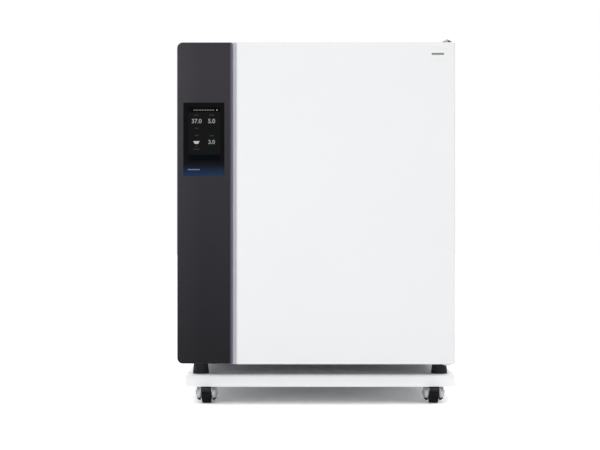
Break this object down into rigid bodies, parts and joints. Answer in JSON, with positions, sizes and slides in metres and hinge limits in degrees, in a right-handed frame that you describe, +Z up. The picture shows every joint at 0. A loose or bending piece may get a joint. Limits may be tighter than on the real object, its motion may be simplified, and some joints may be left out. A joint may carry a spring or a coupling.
{
  "type": "laboratory incubator",
  "caption": "Cubic bench incubator with a flush insulated outer door, dark control strip with touch display, inner glass door, shelves and a low caster stand.",
  "frame": {"origin": "on the floor, in the middle of the four casters of the roller stand", "axes": "+Z up, -Y out of the front door, +X to the right as seen from the front"},
  "size_m": [0.7885, 0.821, 1.0366],
  "materials": {
    "white_paint": "satin powder coat",
    "grey_paint": "satin powder coat",
    "galvanised": "bare galvanised sheet",
    "stainless": "brushed stainless steel",
    "zinc_steel": "bright zinc plate",
    "dark_panel": "fine satin",
    "black_plastic": "matte",
    "white_plastic": "satin",
    "foam": "cut foam",
    "grey_rubber": "matte",
    "black_rubber": "matte",
    "tread": "matte",
    "clear_glass": "polished",
    "display_black": "polished",
    "circuit_board": "satin",
    "filter_media": "pleated paper",
    "brass_fitting": "turned"
  },
  "bodies": {
    "cabinet": {"stand_tray": "white_paint", "caster_plates": "zinc_steel", "base_pan": "galvanised", "outer_case": "white_paint", "rear_cover": "white_paint", "front_frame": "white_plastic", "inner_chamber": "stainless", "chamber_seal": "grey_rubber", "insulation_jacket": "foam", "shelf_uprights": "stainless", "shelf_runners": "stainless", "air_plenum": "stainless", "hepa_filter": "filter_media", "fan_motor": "grey_paint", "sensor_probes": "stainless", "glass_hinge_brackets": "zinc_steel", "latch_keeper": "zinc_steel", "door_hinge_brackets": "zinc_steel", "door_hinge_pins": "zinc_steel", "electronics_box": "white_paint", "control_board": "circuit_board", "power_inlet": "black_plastic", "gas_inlets": "brass_fitting", "port_plug": "grey_rubber", "rear_screws": "zinc_steel"},
    "door": {"door_skin": "white_paint", "door_insulation": "foam", "door_liner": "white_plastic", "door_gasket": "grey_rubber", "control_panel": "dark_panel", "display_glass": "display_black", "display_module": "circuit_board", "door_hinge_bushes": "black_plastic"},
    "glass_door": {"glass_pane": "clear_glass", "glass_hinge_leaves": "zinc_steel"},
    "glass_latch": {"glass_latch": "black_plastic"},
    "shelf_1": {"shelf_1": "stainless"},
    "shelf_2": {"shelf_2": "stainless"},
    "shelf_3": {"shelf_3": "stainless"},
    "water_pan": {"water_pan": "stainless"},
    "fan": {"fan_impeller": "black_plastic"},
    "power_rocker": {"power_rocker": "black_plastic"},
    "levelling_foot_fl": {"levelling_foot_fl": "black_plastic"},
    "levelling_foot_fr": {"levelling_foot_fr": "black_plastic"},
    "levelling_foot_rl": {"levelling_foot_rl": "black_plastic"},
    "levelling_foot_rr": {"levelling_foot_rr": "black_plastic"},
    "caster_fl": {"caster_fl_fork": "zinc_steel", "caster_fl_axle": "zinc_steel"},
    "wheel_fl": {"caster_fl_wheel": "tread"},
    "caster_fr": {"caster_fr_fork": "zinc_steel", "caster_fr_axle": "zinc_steel"},
    "wheel_fr": {"caster_fr_wheel": "tread"},
    "caster_rl": {"caster_rl_fork": "zinc_steel", "caster_rl_axle": "zinc_steel"},
    "wheel_rl": {"caster_rl_wheel": "tread"},
    "caster_rr": {"caster_rr_fork": "zinc_steel", "caster_rr_axle": "zinc_steel"},
    "wheel_rr": {"caster_rr_wheel": "tread"},
    "pedal_fl": {"caster_fl_pedal": "black_plastic"},
    "pedal_fr": {"caster_fr_pedal": "black_plastic"}
  },
  "joints": [
    {"name": "door_hinge", "type": "hinge", "parent": "cabinet", "child": "door", "pos_m": [0.359, -0.375, 0.573], "axis": [0, 0, 1], "range_deg": [0, 120]},
    {"name": "glass_door_hinge", "type": "hinge", "parent": "cabinet", "child": "glass_door", "pos_m": [0.322, -0.328, 0.567], "axis": [0, 0, 1], "range_deg": [0, 93.6]},
    {"name": "glass_latch_turn", "type": "hinge", "parent": "glass_door", "child": "glass_latch", "pos_m": [-0.29, -0.33, 0.567], "axis": [0, -1, 0], "range_deg": [0, 90]},
    {"name": "shelf_1_slide", "type": "slide", "parent": "cabinet", "child": "shelf_1", "axis": [0, -1, 0], "range_m": [0, 0.153]},
    {"name": "shelf_2_slide", "type": "slide", "parent": "cabinet", "child": "shelf_2", "axis": [0, -1, 0], "range_m": [0, 0.153]},
    {"name": "shelf_3_slide", "type": "slide", "parent": "cabinet", "child": "shelf_3", "axis": [0, -1, 0], "range_m": [0, 0.153]},
    {"name": "water_pan_slide", "type": "slide", "parent": "cabinet", "child": "water_pan", "axis": [0, -1, 0], "range_m": [0, 0.153]},
    {"name": "fan_spin", "type": "hinge", "parent": "cabinet", "child": "fan", "pos_m": [0, 0.26, 0.83], "axis": [0, 1, 0], "continuous": true},
    {"name": "power_rocker_tilt", "type": "hinge", "parent": "cabinet", "child": "power_rocker", "pos_m": [-0.153, 0.397, 0.638], "axis": [1, 0, 0], "range_deg": [0, 16]},
    {"name": "levelling_height_fl", "type": "slide", "parent": "cabinet", "child": "levelling_foot_fl", "axis": [0, 0, 1], "range_m": [0, 0.005]},
    {"name": "levelling_height_fr", "type": "slide", "parent": "cabinet", "child": "levelling_foot_fr", "axis": [0, 0, 1], "range_m": [0, 0.005]},
    {"name": "levelling_height_rl", "type": "slide", "parent": "cabinet", "child": "levelling_foot_rl", "axis": [0, 0, 1], "range_m": [0, 0.005]},
    {"name": "levelling_height_rr", "type": "slide", "parent": "cabinet", "child": "levelling_foot_rr", "axis": [0, 0, 1], "range_m": [0, 0.005]},
    {"name": "swivel_fl", "type": "hinge", "parent": "cabinet", "child": "caster_fl", "pos_m": [-0.3265, -0.282, 0.07], "axis": [0, 0, 1], "continuous": true},
    {"name": "wheel_spin_fl", "type": "hinge", "parent": "caster_fl", "child": "wheel_fl", "pos_m": [-0.3265, -0.302, 0.03], "axis": [1, 0, 0], "continuous": true},
    {"name": "swivel_fr", "type": "hinge", "parent": "cabinet", "child": "caster_fr", "pos_m": [0.3265, -0.282, 0.07], "axis": [0, 0, 1], "continuous": true},
    {"name": "wheel_spin_fr", "type": "hinge", "parent": "caster_fr", "child": "wheel_fr", "pos_m": [0.3265, -0.302, 0.03], "axis": [1, 0, 0], "continuous": true},
    {"name": "swivel_rl", "type": "hinge", "parent": "cabinet", "child": "caster_rl", "pos_m": [-0.3265, 0.282, 0.07], "axis": [0, 0, 1], "continuous": true},
    {"name": "wheel_spin_rl", "type": "hinge", "parent": "caster_rl", "child": "wheel_rl", "pos_m": [-0.3265, 0.302, 0.03], "axis": [1, 0, 0], "continuous": true},
    {"name": "swivel_rr", "type": "hinge", "parent": "cabinet", "child": "caster_rr", "pos_m": [0.3265, 0.282, 0.07], "axis": [0, 0, 1], "continuous": true},
    {"name": "wheel_spin_rr", "type": "hinge", "parent": "caster_rr", "child": "wheel_rr", "pos_m": [0.3265, 0.302, 0.03], "axis": [1, 0, 0], "continuous": true},
    {"name": "pedal_fl_press", "type": "hinge", "parent": "caster_fl", "child": "pedal_fl", "pos_m": [-0.3265, -0.335, 0.042], "axis": [1, 0, 0], "range_deg": [0, 10]},
    {"name": "pedal_fr_press", "type": "hinge", "parent": "caster_fr", "child": "pedal_fr", "pos_m": [0.3265, -0.335, 0.042], "axis": [1, 0, 0], "range_deg": [0, 10]}
  ],
  "couplings": [
    {"joint": "glass_door_hinge", "follows": "door_hinge", "ratio": 0.78},
    {"joint": "shelf_1_slide", "follows": "door_hinge", "m_per_rad": 0.073},
    {"joint": "shelf_2_slide", "follows": "door_hinge", "m_per_rad": 0.073},
    {"joint": "shelf_3_slide", "follows": "door_hinge", "m_per_rad": 0.073},
    {"joint": "water_pan_slide", "follows": "door_hinge", "m_per_rad": 0.073}
  ]
}
